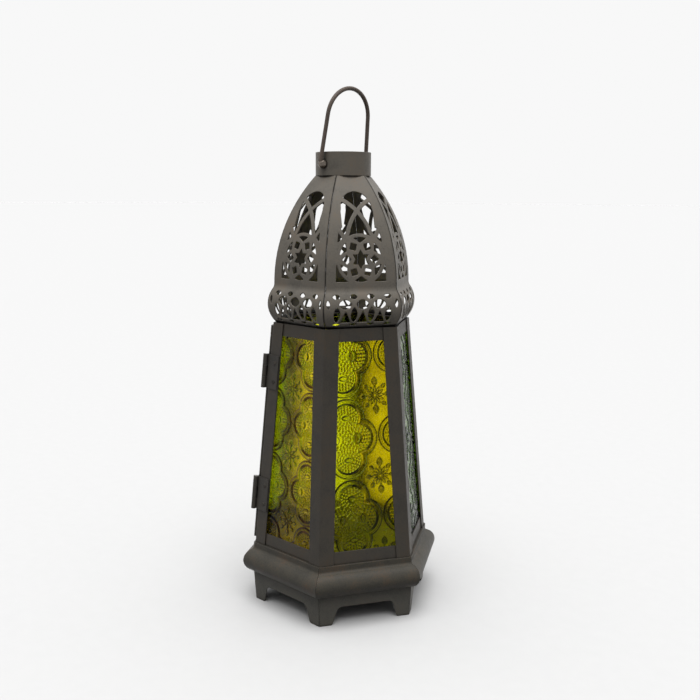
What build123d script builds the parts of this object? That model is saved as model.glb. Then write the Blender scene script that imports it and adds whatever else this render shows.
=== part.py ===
from build123d import *
from math import acos, atan2, cos, degrees, hypot, radians, sin, sqrt, tan
import os

# A six-sided candle lantern of painted sheet steel and pressed glass, with a pierced dome.
# Millimetres, +Z up, floor at z = 0, lantern axis on Z. A side is named by its azimuth:
# 0 faces -Y and the angle grows towards +X.

# Driving dimensions: whole lantern
SIDES = 6
SIDE_NAMES = ["front", "front_right", "back_right", "back", "back_left", "door_side"]
CORNER_NAMES = ["front_right", "right", "back_right", "back_left", "latch", "hinge"]
DOOR_SIDE = SIDE_NAMES.index("door_side")
HINGE_CORNER = CORNER_NAMES.index("hinge")
WIRE_FACETS = 12
RING_FACETS = 12
RING_ROWS = 4
RIVET_FACETS = 8
QUARTER_TURN = 90.0
sheet = 0.8
seam = 0.3

# Driving dimensions: glazed body, tapering upwards
body_height = 166.4
body_bottom_apothem = 59.0
body_top_apothem = 45.6
post_flange = 10.4
post_fold_radius = 0.6
rail_height = 9.0
top_rail_shelf = 6.0
bottom_rail_shelf = 4.0
glass_thickness = 3.0
glass_side_gap = 1.5
clip_sheet = 0.6
clip_width = 6.0
clip_tongue = 4.0
clip_foot = 1.2
clip_gap = 0.2
clip_clearance = 0.6
clip_spread = 11.0

# Driving dimensions: pressed pattern of the glass, four-lobed rings about daisies
ring_repeat_across = 45.0
ring_repeat_up = 58.0
ring_lobe_radius = 11.85
ring_gap = 0.75
ring_width = 2.3
ring_height = 0.6
pane_border = 4.0
fine_ratio = 0.84

# For each side: the pattern's scale, a daisy's place on the face and the pattern's turn
PRESSED = {
    "front": (fine_ratio, -3.5, 72.4, 0.8),
    "front_right": (1.0, 12.9, 61.3, 3.0),
    "back_right": (1.0, -6.0, 76.4, -1.5),
    "back": (1.0, 4.0, 66.4, 0.0),
    "back_left": (fine_ratio, 7.0, 75.4, 1.0),
    "door_side": (fine_ratio, -4.0, 74.7, 0.0),
}

# Driving dimensions: base
skirt_height = 29.0
skirt_margin = 0.6
skirt_lean = 1.7
apron_bottom = 13.5
foot_width = 9.5
foot_top_width = 13.5
foot_arch_radius = 4.5
foot_corner_radius = 2.0
moulding_rise = 16.0
moulding_margin = 1.0
moulding_lip_height = 3.4
moulding_cove_radius = 2.0
moulding_cove_angle = 70.0
moulding_ogee_radius = 9.0
moulding_return_angle = 72.0
moulding_ledge = 6.5
floor_plate_gap = 0.5
cup_inner_radius = 20.2
cup_height = 12.0
cup_lip = 1.3

# Driving dimensions: dome and collar
collar_radius = 20.0
collar_height = 16.5
dome_height = 76.3
dome_waist_inset = 0.8
dome_seam = 0.6
dome_tab_width = 12.0
dome_tab_height = 5.6
dome_fit = 0.15
rim_height = 28.6
rim_fillet_radius = 7.0
rim_flare_angle = 33.0
rim_radius = 20.0

# Driving dimensions: pierced window of a petal, with levels above the dome's waist
window_bottom = 3.8
window_spring = 54.4
window_top = 65.2
window_border = 7.3
bar_width = 2.3
bar_crossing = 51.5
bar_low = 36.5
bar_low_reach = 8.6
bar_high = 60.5
bar_high_reach = 9.8
brace_low = 34.0
brace_low_reach = 8.5
brace_high = 45.5
brace_high_reach = 16.2
rosette_level = 19.0
rosette_radius = 17.5
star_radius = 5.9
kite_radius = 9.7
kite_length = 6.2
kite_width = 6.0
ray_radius = 13.2
ray_length = 3.2
ray_width = 6.8

# Driving dimensions: pierced rim of a petal, with levels above the glazed body
rim_motifs = 4
rim_end_margin = 1.1
eye_level = 22.2
eye_width = 5.8
eye_height = 3.2
leaf_level = 17.3
leaf_width = 6.8
leaf_height = 5.0
end_leaf_width = 2.4
end_leaf_height = 6.4
oval_level = 11.0
oval_width = 3.2
oval_height = 7.6
arrow_level = 7.6
arrow_width = 6.2
arrow_height = 6.0
slot_level = 3.0
slot_width = 5.8
slot_height = 1.8

# Driving dimensions: bail handle
wire_radius = 1.5
pivot_rise = 8.1
pivot_clearance = 0.1
bail_gap = 2.2
bail_arch_radius = 20.8
bail_height = 54.5
bail_bend_radius = 2.6
bail_stub = 3.7
bail_tilt_angle = 8.0

# Driving dimensions: door, hinges and latch
door_rise = 2.0
door_lip_gap = 0.2
door_hinge_gap = 2.0
door_bottom_gap = 3.6
door_top_gap = 2.6
door_window_inset = 16.0
door_rail_width = 13.5
door_glass_gap = 0.7
door_glass_end_gap = 1.7
hinge_length = 25.0
hinge_leaf = 0.7
hinge_leaf_width = 9.6
hinge_barrel_radius = 1.75
hinge_pin_radius = 0.9
hinge_pin_clearance = 0.05
hinge_joint_gap = 0.3
hinge_low_margin = 26.0
hinge_high_margin = 23.6
rivet_radius = 0.8
rivet_clearance = 0.05
rivet_head_radius = 1.6
rivet_head_height = 0.8
rivet_head_angle = 35.0
rivet_spacing = 14.0
rivet_inset = 3.6
latch_level = 82.0
latch_inset = 3.4
latch_width = 5.0
latch_reach = 9.0
latch_thickness = 1.0
latch_clearance = 0.7
latch_lift = 0.3
latch_play = 0.06
latch_pin_radius = 1.2
latch_spacer_radius = 2.0
latch_head_radius = 2.2
latch_head_height = 0.8

# Worked out from the driving dimensions: heights
body_bottom = skirt_height + moulding_rise
body_top = body_bottom + body_height
dome_waist = body_top + rim_height
collar_bottom = dome_waist + dome_height
pivot_height = collar_bottom + pivot_rise
bail_top = pivot_height + bail_height

# Worked out from the driving dimensions: plan
step = 360.0 / SIDES
half_step = step / 2.0
corner_ratio = 1.0 / cos(radians(half_step))
half_side_ratio = tan(radians(half_step))
moulding_lip_apothem = body_bottom_apothem + moulding_margin
skirt_top_apothem = moulding_lip_apothem + skirt_margin
skirt_floor_apothem = skirt_top_apothem - skirt_lean
reach = moulding_lip_apothem + 2 * moulding_ogee_radius
collar_inner_radius = collar_radius - sheet
bail_half_width = collar_radius + bail_gap + wire_radius
bail_stub_end = collar_inner_radius - bail_stub

# Worked out from the driving dimensions: leaning faces and dome curve
taper = body_bottom_apothem - body_top_apothem
slope = hypot(body_height, taper)
lean_sin = taper / slope
lean_cos = body_height / slope
front_normal = Vector(0, -lean_cos, lean_sin)
rail_seam = seam + 2 * post_fold_radius
glass_edge_strip = sheet + clip_clearance + clip_foot + clip_sheet + clip_gap
dome_waist_apothem = body_top_apothem - dome_waist_inset
dome_top_apothem = sqrt(collar_inner_radius**2 - (dome_tab_width / 2) ** 2) - dome_fit
dome_draw = dome_waist_apothem - dome_top_apothem
dome_radius = (dome_height**2 + dome_draw**2) / (2 * dome_draw)
door_latch_gap = latch_inset + latch_width / 2 + latch_clearance


def turned(part, azimuth):
    """The part, made for the front side, turned to another azimuth."""
    return Rot(0, 0, azimuth) * part


def sector(gap):
    """The wedge of space that the front side owns, half a gap short of both mitre planes."""
    far = (reach - gap) * half_side_ratio
    wedge = Polygon((0, -gap), (-far, -reach), (far, -reach), align=None)
    return extrude(wedge, amount=bail_top)


def strip(profile, gap=seam):
    """A side's strip: a profile drawn in Y and Z, run along the side and mitred at both ends."""
    return extrude(Plane.YZ * profile, amount=reach, both=True) & sector(gap)


def layer(z, outward):
    """Y of the front side's layer that lies this far outward of the face, at height z."""
    apothem = body_bottom_apothem - (z - body_bottom) * taper / body_height
    return -(apothem + outward / lean_cos)


def on_face(along, outward):
    """Y and Z of a point this far up the slope of the front face and this far outward of it."""
    y = -(body_bottom_apothem - along * lean_sin + outward * lean_cos)
    return (y, body_bottom + along * lean_cos + outward * lean_sin)


def face_plane(outward):
    """The front face's own plane: X to the right, Y up the slope, moved outward."""
    y, z = on_face(0, outward)
    return Plane(origin=(0, y, z), x_dir=(1, 0, 0), z_dir=front_normal)


def half_side(along, outward=0.0):
    """Half the width of the front face's layer, this far up the slope."""
    return -on_face(along, outward)[0] * half_side_ratio


def plate(outline, outward, thickness):
    """A plate that lies on the front face: an outline there, from one layer outward."""
    return extrude(face_plane(outward) * outline, amount=thickness, dir=front_normal)


def through_front(outline):
    """A cutter: an outline drawn in X and Z, run from the axis out through the front side."""
    return extrude(Plane.XZ * outline, amount=reach, dir=(0, -1, 0))


def sheet_section(path, side):
    """The closed section of a sheet whose outer surface follows a path of lines and arcs."""
    return make_face(offset(path, amount=sheet, kind=Kind.INTERSECTION, side=side))


def skirt_panel():
    """A base panel that leans out upwards, cut away between two bracket feet."""
    profile = Polygon(
        (-skirt_floor_apothem, 0),
        (-skirt_top_apothem, skirt_height),
        (sheet - skirt_top_apothem, skirt_height),
        (sheet - skirt_floor_apothem, 0),
        align=None,
    )
    half = skirt_floor_apothem * half_side_ratio
    low = half - foot_width
    high = half - foot_top_width
    notch = Polygon((-low, 0), (-high, apron_bottom), (high, apron_bottom), (low, 0), align=None)
    notch = fillet(notch.vertices().group_by(Axis.Y)[-1], foot_arch_radius)
    panel = strip(profile) - through_front(notch)
    inner_corners = panel.edges().filter_by(Axis.Y).group_by(Axis.Z)[0]
    return fillet(inner_corners, foot_corner_radius)


def base_moulding():
    """A ledge, a lip, a cove and a swelling ogee, bent from one sheet."""
    ledge = Line(
        (moulding_ledge - moulding_lip_apothem, body_bottom),
        (-moulding_lip_apothem, body_bottom),
    )
    lip = Line(ledge @ 1, (-moulding_lip_apothem, body_bottom - moulding_lip_height))
    cove = JernArc(lip @ 1, lip % 1, moulding_cove_radius, -moulding_cove_angle)
    turn = moulding_cove_angle + moulding_return_angle
    ogee = JernArc(cove @ 1, cove % 1, moulding_ogee_radius, turn)
    return strip(sheet_section(Wire([ledge, lip, cove, ogee]), Side.LEFT))


def floor_plate():
    """The plate under the moulding's ledges, which carries the candle."""
    apothem = moulding_lip_apothem - sheet - floor_plate_gap
    outline = RegularPolygon(apothem, SIDES, major_radius=False)
    return Pos(0, 0, body_bottom - 2 * sheet) * extrude(outline, amount=sheet)


def candle_cup():
    """A drawn cup with a turned-out lip, on the floor plate."""
    bottom = body_bottom - sheet
    outer = cup_inner_radius + sheet
    shell = Pos(0, 0, bottom) * extrude(Circle(outer), amount=cup_height)
    lip = Pos(0, 0, bottom + cup_height - sheet) * extrude(Circle(outer + cup_lip), amount=sheet)
    hollow = Pos(0, 0, bottom + sheet) * extrude(Circle(cup_inner_radius), amount=cup_height)
    return shell + lip - hollow


def corner_post():
    """A folded angle that follows the leaning corner, made for a corner at azimuth 0."""
    thickness = sheet / lean_cos
    low_radius = body_bottom_apothem * corner_ratio
    along = Vector(cos(radians(half_step)), sin(radians(half_step)))
    inward = Vector(-sin(radians(half_step)), cos(radians(half_step)))
    tip = Vector(0, -low_radius)
    right_end = tip + along * post_flange
    right_inner = right_end + inward * thickness
    fold = Vector(0, thickness * corner_ratio - low_radius)
    mirrored = [Vector(-p.X, p.Y) for p in (right_inner, right_end)]
    section = make_face(Polyline(tip, right_end, right_inner, fold, *mirrored, close=True))
    section = fillet(section.vertices().sort_by_distance(fold)[0], post_fold_radius)
    section = fillet(section.vertices().sort_by_distance(tip)[0], post_fold_radius + sheet)
    edge = Vector(0, taper * corner_ratio, body_height)
    return extrude(Pos(0, 0, body_bottom) * section, amount=edge.length, dir=edge)


def top_rail():
    """An angle behind the posts, with a shelf that the dome stands on."""
    low = body_top - rail_height
    under = body_top - sheet
    shelf_end = layer(body_top, -sheet) + top_rail_shelf
    return strip(
        Polygon(
            (layer(low, -sheet), low),
            (layer(body_top, -sheet), body_top),
            (shelf_end, body_top),
            (shelf_end, under),
            (layer(under, -2 * sheet), under),
            (layer(low, -2 * sheet), low),
            align=None,
        ),
        rail_seam,
    )


def bottom_rail():
    """An angle behind the posts, whose shelf lies on the moulding's ledge."""
    high = body_bottom + rail_height
    over = body_bottom + sheet
    shelf_end = layer(body_bottom, -sheet) + bottom_rail_shelf
    return strip(
        Polygon(
            (layer(body_bottom, -sheet), body_bottom),
            (layer(high, -sheet), high),
            (layer(high, -2 * sheet), high),
            (layer(over, -2 * sheet), over),
            (shelf_end, over),
            (shelf_end, body_bottom),
            align=None,
        ),
        rail_seam,
    )


def trapezoid(low, high, low_left, low_right, high_left, high_right):
    """A four-sided outline on a face, level at the bottom and the top."""
    return Polygon(
        (-low_left, low), (low_right, low), (high_right, high), (-high_left, high), align=None
    )


def four_lobes(radius, across, up):
    """Four round lobes, two across and two upright."""
    lobe = RegularPolygon(radius, RING_FACETS)
    spots = [(across, 0), (-across, 0), (0, up), (0, -up)]
    return Sketch() + [Pos(*spot) * lobe for spot in spots]


def pressed_rings(outline, scale, x, along, turn):
    """A pane's raised pattern: its plain border and the four-lobed rings within it."""
    across, up = ring_repeat_across * scale, ring_repeat_up * scale
    radius = ring_lobe_radius * scale
    offsets = (across / 2 - radius - ring_gap, up / 2 - radius - ring_gap)
    ring = four_lobes(radius, *offsets) - four_lobes(radius - ring_width, *offsets)
    grid = Pos(x, along) * Rot(0, 0, turn) * GridLocations(across, up, RING_ROWS, RING_ROWS)
    inside = offset(outline, amount=-pane_border, kind=Kind.INTERSECTION)
    return (Sketch() + [place * ring for place in grid]) & inside, outline - inside


def pressed_plate(outline, back, side_name):
    """A pane whose pattern stands proud on its outer face."""
    base = glass_thickness - ring_height
    pane = plate(outline, back, base)
    for raised in pressed_rings(outline, *PRESSED[side_name]):
        pane += plate(raised, back + base, ring_height)
    return pane


def glass_pane(side_name):
    """A tapering pane behind the rails."""
    back = -2 * sheet - glass_thickness
    low = glass_edge_strip
    high = slope - glass_edge_strip
    low_half = half_side(low, back) - glass_side_gap
    high_half = half_side(high, back) - glass_side_gap
    outline = trapezoid(low, high, low_half, low_half, high_half, high_half)
    return pressed_plate(outline, back, side_name)


def clip(edge, outside, seat):
    """A bent clip: a foot on the seat beyond a pane's edge and a tongue over its back.

    edge is the pane's edge up the slope, outside is +1 above the pane and -1 below it, and
    seat is the layer that the pane and the foot both lie against.
    """
    inner = edge + outside * clip_gap
    outer = inner + outside * clip_sheet
    foot_end = outer + outside * clip_foot
    tongue_end = inner - outside * clip_tongue
    back = seat - glass_thickness
    points = [
        (inner, seat),
        (foot_end, seat),
        (foot_end, seat - clip_sheet),
        (outer, seat - clip_sheet),
        (outer, back - clip_sheet),
        (tongue_end, back - clip_sheet),
        (tongue_end, back),
        (inner, back),
    ]
    profile = Polygon(*[on_face(*point) for point in points], align=None)
    return extrude(Plane.YZ * profile, amount=clip_width / 2, both=True)


def clip_set(low_edge, high_edge, seat):
    """Two clips under a pane and two over it."""
    ends = [clip(low_edge, -1, seat), clip(high_edge, 1, seat)]
    return [Pos(x, 0, 0) * end for x in (-clip_spread, clip_spread) for end in ends]


def dome_half_width(level):
    """Half the width of a petal at a level above the waist."""
    fall = sqrt(dome_radius**2 - level**2)
    return (dome_waist_apothem - dome_radius + fall) * half_side_ratio


def petal_path(inset):
    """A petal's swelled rim, neck, long arc and tab, in Y and Z, set in from the outer face."""
    waist = (inset - dome_waist_apothem, dome_waist)
    neck = JernArc(waist, (0, -1), rim_fillet_radius + inset, -rim_flare_angle)
    rim = JernArc(neck @ 1, neck % 1, rim_radius - inset, rim_flare_angle + QUARTER_TURN)
    tab_y = inset - dome_top_apothem
    run = dome_radius - dome_waist_apothem - tab_y
    top = (tab_y, dome_waist + sqrt((dome_radius - inset) ** 2 - run**2))
    long_arc = TangentArc(waist, top, tangent=(0, 1))
    tab = Line(top, (tab_y, collar_bottom + dome_tab_height))
    return Wire([rim, neck, long_arc, tab])


def petal_sheet():
    """The bent sheet of a petal, cut level at the foot of its rim."""
    outer, inner = petal_path(0), petal_path(sheet)
    ends = [Line(outer @ end, inner @ end) for end in (0, 1)]
    bent = strip(make_face([*outer.edges(), *ends, *inner.edges()]), dome_seam)
    return split(bent, Plane.XY.offset(body_top), keep=Keep.TOP)


def leaf_shape(width, height):
    """A six-cornered opening that comes to a point at its left and its right."""
    corners = [(width / 2, 0), (width / 4, height / 2), (-width / 4, height / 2)]
    return Polygon(*corners, *[(-x, -y) for x, y in corners], align=None)


def window_bars():
    """Two curved bars that cross under the arch, and two braces beside them."""
    bars = Sketch()
    for hand in (-1, 1):
        start = (-hand * bar_high_reach, bar_high)
        end = (hand * bar_low_reach, bar_low)
        crossing = ThreePointArc(start, (0, bar_crossing), end)
        brace = Line((hand * brace_low_reach, brace_low), (hand * brace_high_reach, brace_high))
        bars += trace(crossing, bar_width) + trace(brace, bar_width)
    return bars


def rosette_openings():
    """A six-pointed star, a ring of kites and a ring of rays, about the rosette's centre."""
    triangle = RegularPolygon(star_radius, SIDES // 2, rotation=half_step)
    tip = kite_length / 2
    side = kite_width / 2
    kite = Polygon((-tip, 0), (0, -side), (tip, 0), (0, side), align=None)
    end = ray_length / 2
    ray = Polygon((-end, 0), (end, -ray_width / 2), (end, ray_width / 2), align=None)
    star = [triangle, Rot(0, 0, step) * triangle]
    kites = [place * kite for place in PolarLocations(kite_radius, SIDES)]
    rays = [place * ray for place in PolarLocations(ray_radius, SIDES, start_angle=half_step)]
    return star + kites + rays


def window_openings():
    """A petal's window: an arch crossed by curved bars over a pierced rosette."""
    levels = (window_bottom, (window_bottom + window_spring) / 2, window_spring)
    sides = [(dome_half_width(level) - window_border, level) for level in levels]
    mirrored = [(-x, level) for x, level in sides]
    outline = [
        Line(mirrored[0], sides[0]),
        ThreePointArc(*sides),
        ThreePointArc(sides[2], (0, window_top), mirrored[2]),
        ThreePointArc(*mirrored),
    ]
    hub = Pos(0, rosette_level)
    arch = make_face(outline) - hub * Circle(rosette_radius) - window_bars()
    return Pos(0, dome_waist) * (arch + [hub * hole for hole in rosette_openings()])


def rim_openings():
    """A petal's pierced rim: rows of eyes, leaves, ovals, arrowheads and slots."""
    openings = []
    upright = Rot(0, 0, QUARTER_TURN)
    end = dome_half_width(0) - rim_end_margin
    pitch = 2 * end / rim_motifs
    for motif in range(rim_motifs):
        x = (motif + 0.5) * pitch - end
        openings += [
            Pos(x, eye_level) * leaf_shape(eye_width, eye_height),
            Pos(x, oval_level) * upright * leaf_shape(oval_height, oval_width),
            Pos(x, slot_level) * leaf_shape(slot_width, slot_height),
        ]
    half = arrow_width / 2
    low = -arrow_height / 2
    arrow = Polygon((-half, low), (half, low), (0, -low), align=None)
    for gap in range(1, rim_motifs):
        x = gap * pitch - end
        openings += [Pos(x, leaf_level) * leaf_shape(leaf_width, leaf_height), Pos(x, arrow_level) * arrow]
    end_leaf = upright * leaf_shape(end_leaf_height, end_leaf_width)
    openings += [Pos(x, leaf_level) * end_leaf for x in (-end, end)]
    return [Pos(0, body_top) * opening for opening in openings]


def dome_petal():
    """A petal with its shoulders cut back to the tab and its openings pierced."""
    width = dome_half_width(0)
    shoulder = Rectangle(width, 2 * dome_tab_height, align=(Align.CENTER, Align.MIN))
    middle = (dome_tab_width + width) / 2
    shoulders = [Pos(x, collar_bottom - dome_fit) * shoulder for x in (-middle, middle)]
    return petal_sheet() - through_front(window_openings() + rim_openings() + shoulders)


def collar():
    """The ring on the dome, with the two holes that the handle turns in."""
    ring = Circle(collar_radius) - Circle(collar_inner_radius)
    band = Pos(0, 0, collar_bottom) * extrude(ring, amount=collar_height)
    hole = Plane.XZ * Pos(0, pivot_height) * Circle(wire_radius + pivot_clearance)
    return band - extrude(hole, amount=2 * collar_radius, both=True)


def handle():
    """A wire bail: stubs through the collar, legs that lean in and a round arch, tilted a little."""
    arch_centre = bail_top - wire_radius - bail_arch_radius
    rise = arch_centre - pivot_height
    lean = degrees(acos(bail_arch_radius / hypot(bail_half_width, rise)) - atan2(rise, bail_half_width))
    lean_run = Vector(sin(radians(lean)), cos(radians(lean)))
    arch_start = Vector(
        -bail_arch_radius * cos(radians(lean)), arch_centre + bail_arch_radius * sin(radians(lean))
    )
    bend_turn = QUARTER_TURN + lean
    bend_run = bail_bend_radius * tan(radians(bend_turn / 2))
    stub = Line((-bail_stub_end, pivot_height), (bend_run - bail_half_width, pivot_height))
    bend = JernArc(stub @ 1, (-1, 0), bail_bend_radius, -bend_turn)
    leg = Line(bend @ 1, arch_start)
    arch = JernArc(arch_start, lean_run, bail_arch_radius, 2 * (lean - QUARTER_TURN))
    other_side = [mirror(line, Plane.YZ).edge() for line in (leg, bend, stub)]
    path = Plane.YZ * Wire([stub, bend, leg, arch, *other_side])
    section = Plane(origin=path @ 0, z_dir=path % 0) * RegularPolygon(wire_radius, WIRE_FACETS)
    tilt = Pos(0, 0, pivot_height) * Rot(0, bail_tilt_angle, 0) * Pos(0, 0, -pivot_height)
    return tilt * sweep(section, path)


def door_outline(hinge_inset, latch_inset, low, high):
    """An outline on the door side whose sides run along its two corners; the hinges are to the right."""
    run = slope / hypot(slope, half_side(0) - half_side(slope))
    left = [half_side(along) - latch_inset / run for along in (low, high)]
    right = [half_side(along) - hinge_inset / run for along in (low, high)]
    return trapezoid(low, high, left[0], right[0], left[1], right[1])


door_low = door_bottom_gap
door_high = slope - door_top_gap
door_back = door_rise - sheet
door_glass_low = rail_height + door_glass_end_gap
door_glass_high = slope - rail_height - door_glass_end_gap


def door_frame():
    """A plate over the posts and rails, with its rim turned back towards them."""
    insets = (door_hinge_gap, door_latch_gap)
    outline = door_outline(*insets, door_low, door_high)
    inside = door_outline(*[inset + sheet for inset in insets], door_low + sheet, door_high - sheet)
    window = door_outline(
        door_window_inset, door_window_inset, door_low + door_rail_width, door_high - door_rail_width
    )
    lip = plate(outline - inside, door_lip_gap, door_back - door_lip_gap)
    return plate(outline - window, door_back, sheet) + lip


def door_glass():
    """The door's pane, which drops between the post flanges and the rails."""
    inset = post_flange + door_glass_gap
    outline = door_outline(inset, inset, door_glass_low, door_glass_high)
    return pressed_plate(outline, door_back - glass_thickness, SIDE_NAMES[DOOR_SIDE])


# The corner that carries the hinges, seen along its edge: X out of the corner, Y towards the front
hinge_azimuth = -half_step
corner_out = Vector(sin(radians(hinge_azimuth)), -cos(radians(hinge_azimuth)), 0)
corner_side = Vector(cos(radians(hinge_azimuth)), sin(radians(hinge_azimuth)), 0)
corner_foot = corner_out * body_bottom_apothem * corner_ratio + Vector(0, 0, body_bottom)
corner_edge = Vector(0, 0, body_height) - corner_out * taper * corner_ratio
corner_length = corner_edge.length
corner_plane = Plane(corner_foot, x_dir=corner_side.cross(corner_edge), z_dir=corner_edge)
face_turn = atan2(front_normal.dot(corner_plane.y_dir), front_normal.dot(corner_plane.x_dir))
front_out = Vector(cos(face_turn), sin(face_turn))
door_out = Vector(cos(face_turn), -sin(face_turn))
front_along = Vector(-sin(face_turn), cos(face_turn))
door_along = Vector(-sin(face_turn), -cos(face_turn))
door_normal = corner_plane.x_dir * door_out.X + corner_plane.y_dir * door_out.Y
hinge_axis = Vector(
    (door_rise + 2 * hinge_barrel_radius) / (2 * cos(face_turn)), -door_rise / (2 * sin(face_turn))
)
hinge_heights = {
    "lower": hinge_low_margin,
    "upper": corner_length - hinge_high_margin - hinge_length,
}


def hinge_rivet_point(height, place, out, along, surface):
    """Where a leaf's rivet meets the surface under the leaf; place is -1 or +1 along the leaf."""
    middle = height + hinge_length / 2 + place * rivet_spacing / 2
    across = hinge_leaf_width - rivet_inset
    spot = out * surface + along * across
    return corner_plane.from_local_coords(Vector(spot.X, spot.Y, middle))


def hinge_rivet_points(on_door):
    """The rivet points of both hinges, on the door or on the corner post."""
    side = (door_out, door_along, door_rise) if on_door else (front_out, front_along, 0.0)
    return [hinge_rivet_point(h, place, *side) for h in hinge_heights.values() for place in (-1, 1)]


def rivet_hole(centre, normal):
    """A hole right through the sheet under a leaf."""
    bore = RegularPolygon(rivet_radius + rivet_clearance, RIVET_FACETS)
    return extrude(Plane(centre, z_dir=normal) * bore, amount=hinge_leaf + sheet, both=True)


def rivet(centre, normal):
    """A rivet with a bevelled head, through a leaf and the sheet under it."""
    surface = Plane(centre, z_dir=normal)
    shank = RegularPolygon(rivet_radius, RIVET_FACETS)
    head = RegularPolygon(rivet_head_radius, RIVET_FACETS)
    body = extrude(surface.offset(-sheet) * shank, amount=sheet + hinge_leaf)
    return body + extrude(surface.offset(hinge_leaf) * head, amount=rivet_head_height, taper=rivet_head_angle)


def hinge_leaf_part(height, out, along, surface, knuckles, normal):
    """A leaf with its rolled knuckles; knuckles lists the thirds of the barrel that it owns."""
    third = hinge_length / 3
    foot = hinge_axis - out * hinge_barrel_radius
    width = hinge_leaf_width - foot.dot(along)
    corners = [foot, foot + along * width, foot + along * width + out * hinge_leaf, foot + out * hinge_leaf]
    outline = corner_plane.offset(height) * make_face(Polyline(*corners, close=True))
    leaf = extrude(outline, amount=hinge_length, dir=corner_edge)
    bore = Circle(hinge_pin_radius + hinge_pin_clearance)
    axis = Pos(hinge_axis.X, hinge_axis.Y)
    clear = hinge_barrel_radius + hinge_joint_gap
    around = [along - out, along + out, out - along, -along - out]
    relief = make_face(Polyline(*[hinge_axis + way * clear for way in around], close=True))
    for index in range(3):
        bottom = height + index * third
        if index in knuckles:
            below = hinge_joint_gap / 2 if index > 0 else 0.0
            above = hinge_joint_gap / 2 if index < 2 else 0.0
            barrel = corner_plane.offset(bottom + below) * (axis * Circle(hinge_barrel_radius))
            leaf += extrude(barrel, amount=third - below - above)
        else:
            start = corner_plane.offset(bottom - hinge_joint_gap / 2)
            leaf -= extrude(start * relief, amount=third + hinge_joint_gap, dir=corner_edge)
    leaf -= extrude(corner_plane.offset(height) * (axis * bore), amount=hinge_length)
    for place in (-1, 1):
        centre = hinge_rivet_point(height, place, out, along, surface)
        leaf -= rivet_hole(centre, normal)
    return leaf


def hinge_pin(height):
    """A plain pin, flush with the barrel's ends."""
    spot = Pos(hinge_axis.X, hinge_axis.Y) * Circle(hinge_pin_radius)
    return extrude(corner_plane.offset(height) * spot, amount=hinge_length)


def latch_plane(outward):
    """The door side's plane at the latch's pivot, made for the front side."""
    run = slope / hypot(slope, half_side(0) - half_side(slope))
    x = latch_inset / run - half_side(latch_level)
    return face_plane(outward) * Pos(x, latch_level)


latch_bottom = door_rise + latch_lift


def latch_button():
    """A turn-button, pointing up along the post, with a hole for its rivet."""
    end = Pos(0, latch_reach - latch_width / 2) * Circle(latch_width / 2)
    bar = Rectangle(latch_width, latch_reach - latch_width / 2, align=(Align.CENTER, Align.MIN))
    outline = Circle(latch_width / 2) + bar + end - Circle(latch_pin_radius + latch_play)
    return extrude(latch_plane(latch_bottom) * outline, amount=latch_thickness)


def latch_rivet():
    """A spacer on the post, a shank through the button and a flat head over it."""
    spacer = RegularPolygon(latch_spacer_radius, RIVET_FACETS)
    spacer = extrude(latch_plane(0) * spacer, amount=latch_bottom - latch_play)
    head_bottom = latch_bottom + latch_thickness + latch_play
    shank = extrude(latch_plane(0) * Circle(latch_pin_radius), amount=head_bottom)
    head = RegularPolygon(latch_head_radius, RIVET_FACETS)
    head = extrude(latch_plane(head_bottom) * head, amount=latch_head_height)
    return spacer + shank + head


def hinge_nodes():
    """Leaves, pins and rivets of both hinges."""
    nodes = {}
    for place, height in hinge_heights.items():
        frame_side = (front_out, front_along, 0.0, (0, 2), front_normal)
        door_side = (door_out, door_along, door_rise, (1,), door_normal)
        nodes[f"hinge_{place}_frame_leaf"] = hinge_leaf_part(height, *frame_side)
        nodes[f"hinge_{place}_door_leaf"] = hinge_leaf_part(height, *door_side)
        nodes[f"hinge_{place}_pin"] = hinge_pin(height)
    on_post = [rivet(centre, front_normal) for centre in hinge_rivet_points(False)]
    on_door = [rivet(centre, door_normal) for centre in hinge_rivet_points(True)]
    nodes["hinge_post_rivets"] = Compound(children=on_post)
    nodes["hinge_door_rivets"] = Compound(children=on_door)
    return nodes


def side_nodes():
    """What repeats on every side and corner."""
    nodes = {}
    panel, moulding, petal = skirt_panel(), base_moulding(), dome_petal()
    high_rail, low_rail, post = top_rail(), bottom_rail(), corner_post()
    pane_clips = clip_set(glass_edge_strip, slope - glass_edge_strip, -2 * sheet)
    clips = []
    for index, name in enumerate(SIDE_NAMES):
        azimuth = index * step
        nodes[f"skirt_panel_{name}"] = turned(panel, azimuth)
        nodes[f"base_moulding_{name}"] = turned(moulding, azimuth)
        nodes[f"bottom_rail_{name}"] = turned(low_rail, azimuth)
        nodes[f"top_rail_{name}"] = turned(high_rail, azimuth)
        nodes[f"dome_petal_{name}"] = turned(petal, azimuth)
        if index != DOOR_SIDE:
            nodes[f"glass_pane_{name}"] = turned(glass_pane(name), azimuth)
            clips += [turned(piece, azimuth) for piece in pane_clips]
    for index, name in enumerate(CORNER_NAMES):
        corner = turned(post, index * step + half_step)
        if index == HINGE_CORNER:
            for centre in hinge_rivet_points(False):
                corner -= rivet_hole(centre, front_normal)
        nodes[f"corner_post_{name}"] = corner
    nodes["pane_clips"] = Compound(children=clips)
    return nodes


def door_nodes():
    """The door and its latch, made for the front side and turned to the door side."""
    azimuth = DOOR_SIDE * step
    clips = clip_set(door_glass_low, door_glass_high, door_back)
    frame = turned(door_frame(), azimuth)
    for centre in hinge_rivet_points(True):
        frame -= rivet_hole(centre, door_normal)
    return {
        "door_frame": frame,
        "door_glass": turned(door_glass(), azimuth),
        "door_clips": Compound(children=[turned(piece, azimuth) for piece in clips]),
        "latch_button": turned(latch_button(), azimuth),
        "latch_rivet": turned(latch_rivet(), azimuth),
    }


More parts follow.
